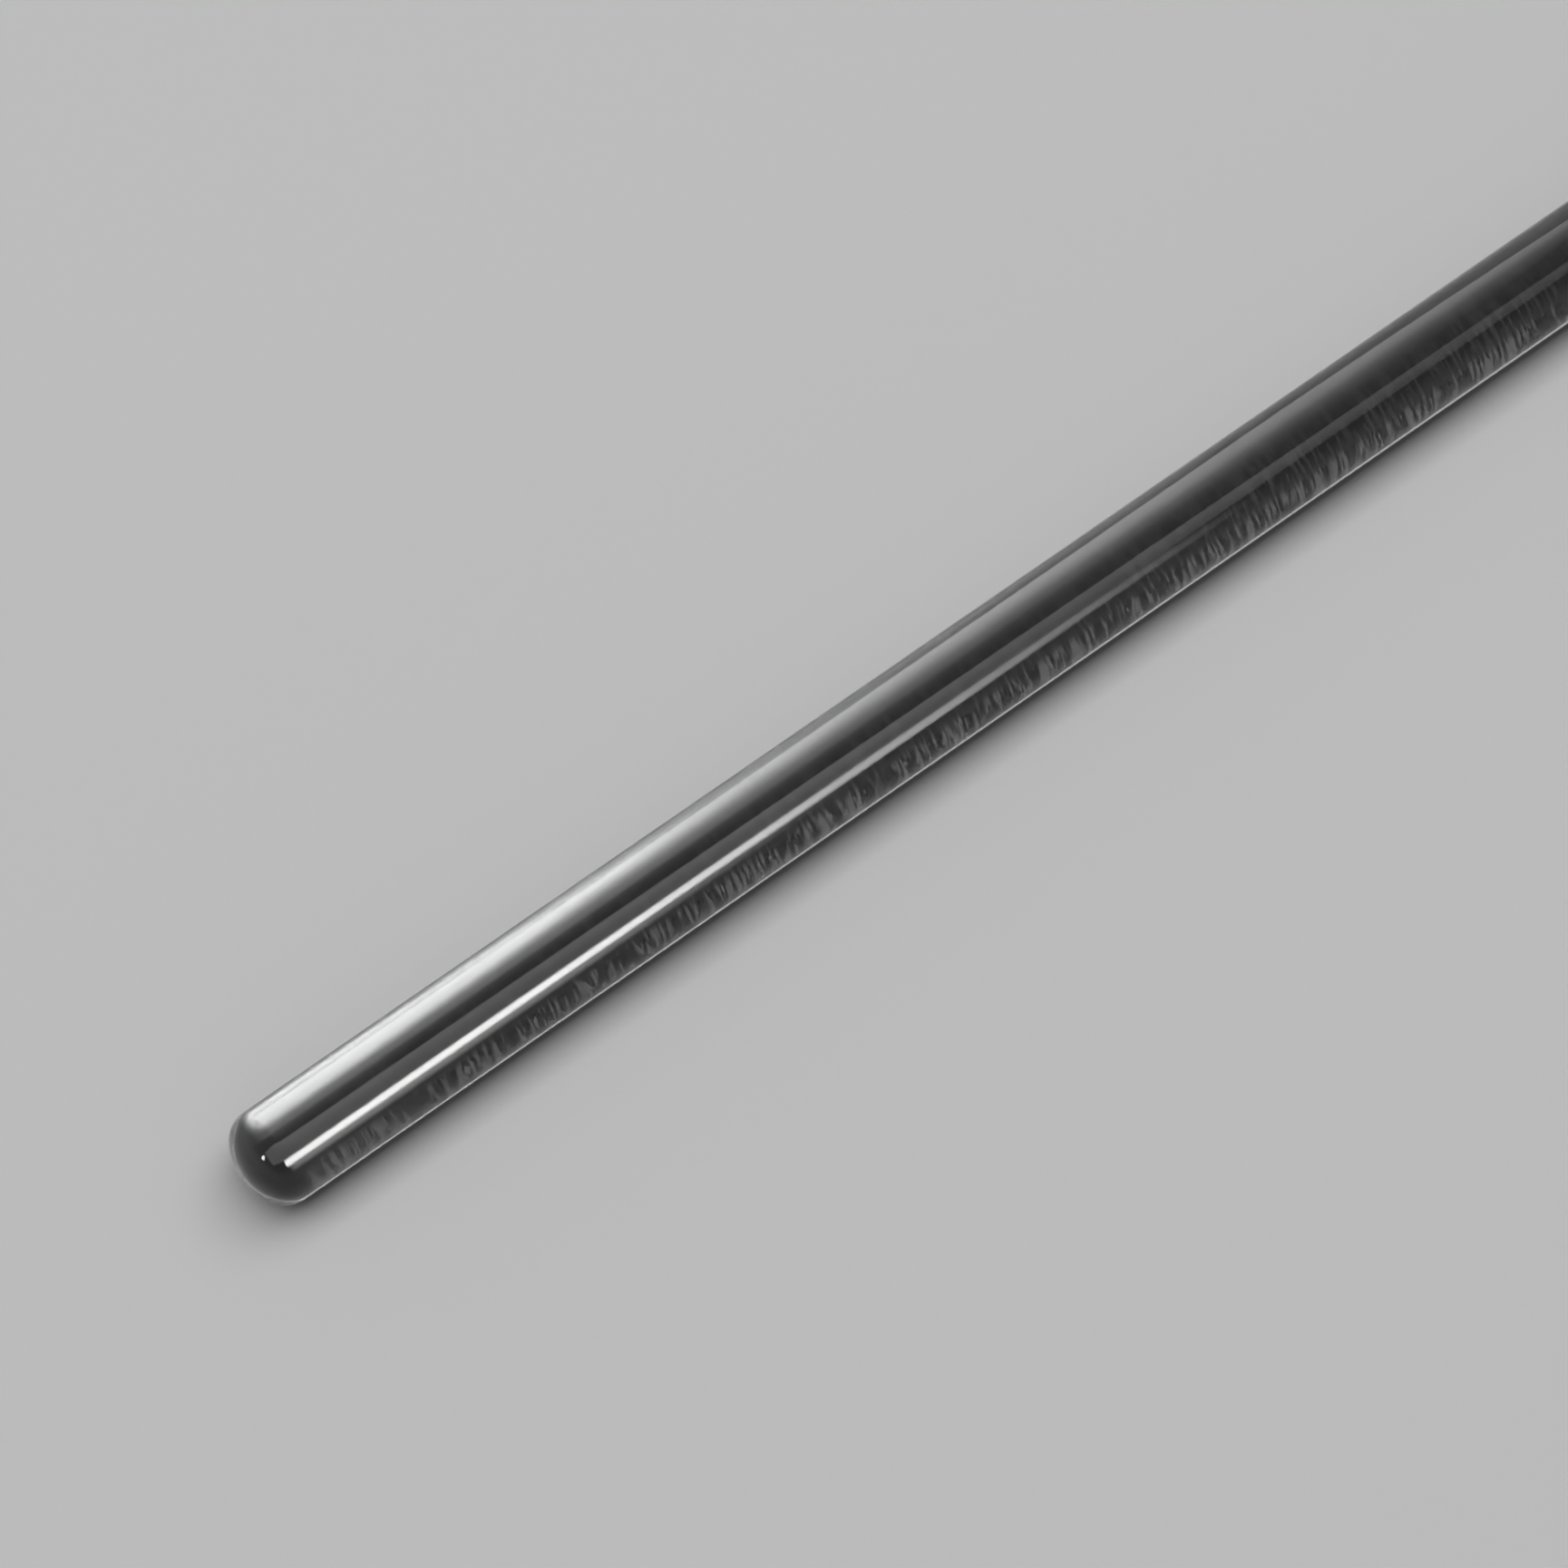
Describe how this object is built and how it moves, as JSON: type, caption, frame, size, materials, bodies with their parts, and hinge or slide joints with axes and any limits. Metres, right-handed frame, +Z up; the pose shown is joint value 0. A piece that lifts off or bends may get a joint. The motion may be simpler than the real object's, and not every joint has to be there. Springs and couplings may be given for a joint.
{
  "type": "glass stirring rod",
  "caption": "Solid drawn rod of clear glass with a smooth fire-polished dome on both ends, for stirring and guiding a pour.",
  "frame": {"origin": "middle of the rod's axis, halfway between the crowns of its two domes", "axes": "+X along the rod's axis from the stirring end to the holding end; +Z up"},
  "size_m": [0.2, 0.006, 0.006],
  "materials": {
    "clear_glass": "clear and fire-polished on the ends, with fine scuffs round the drawn shank"
  },
  "bodies": {
    "root": {"glass_rod": "clear_glass"}
  },
  "joints": []
}
